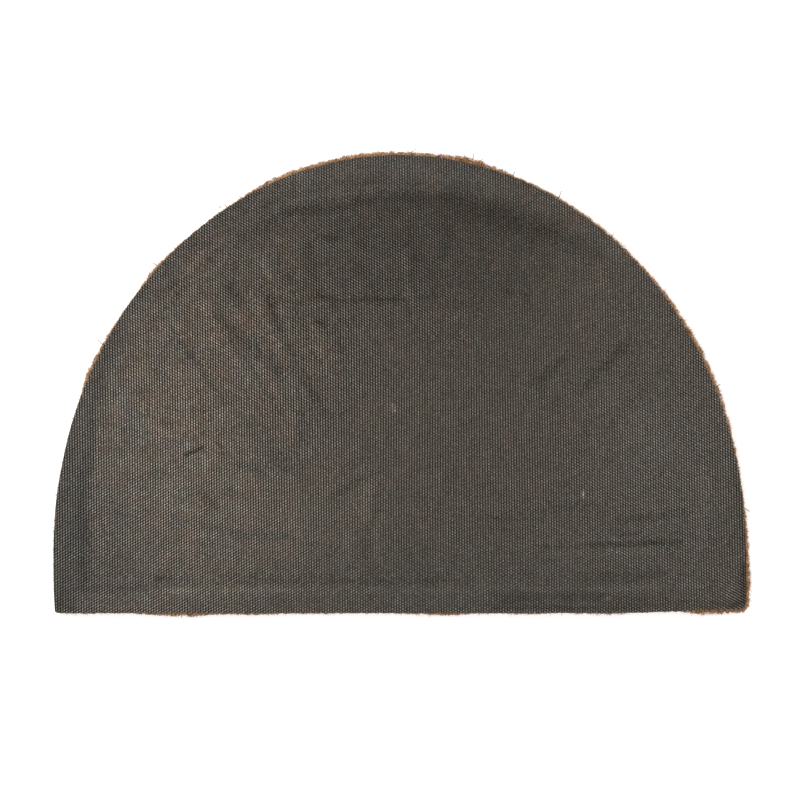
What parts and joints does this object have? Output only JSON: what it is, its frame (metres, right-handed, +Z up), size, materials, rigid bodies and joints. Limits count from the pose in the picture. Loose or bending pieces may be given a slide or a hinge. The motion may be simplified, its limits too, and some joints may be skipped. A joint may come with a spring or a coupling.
{
  "type": "half-round coir doormat",
  "caption": "Half-round coir doormat lying face down: dark woven coated backing up, a thin uneven rim of orange-brown coir pile, one corner lifting.",
  "frame": {"origin": "middle of the mat's footprint, on the surface that its pile rests on", "axes": "+X along the straight edge, +Y towards the arch, +Z up, out of the backing"},
  "size_m": [0.6044, 0.4036, 0.0214],
  "materials": {
    "coated_canvas": "matt coated weave",
    "coir": "matt fibre"
  },
  "bodies": {
    "root": {"backing": "coated_canvas", "coir_pile": "coir"}
  },
  "joints": []
}
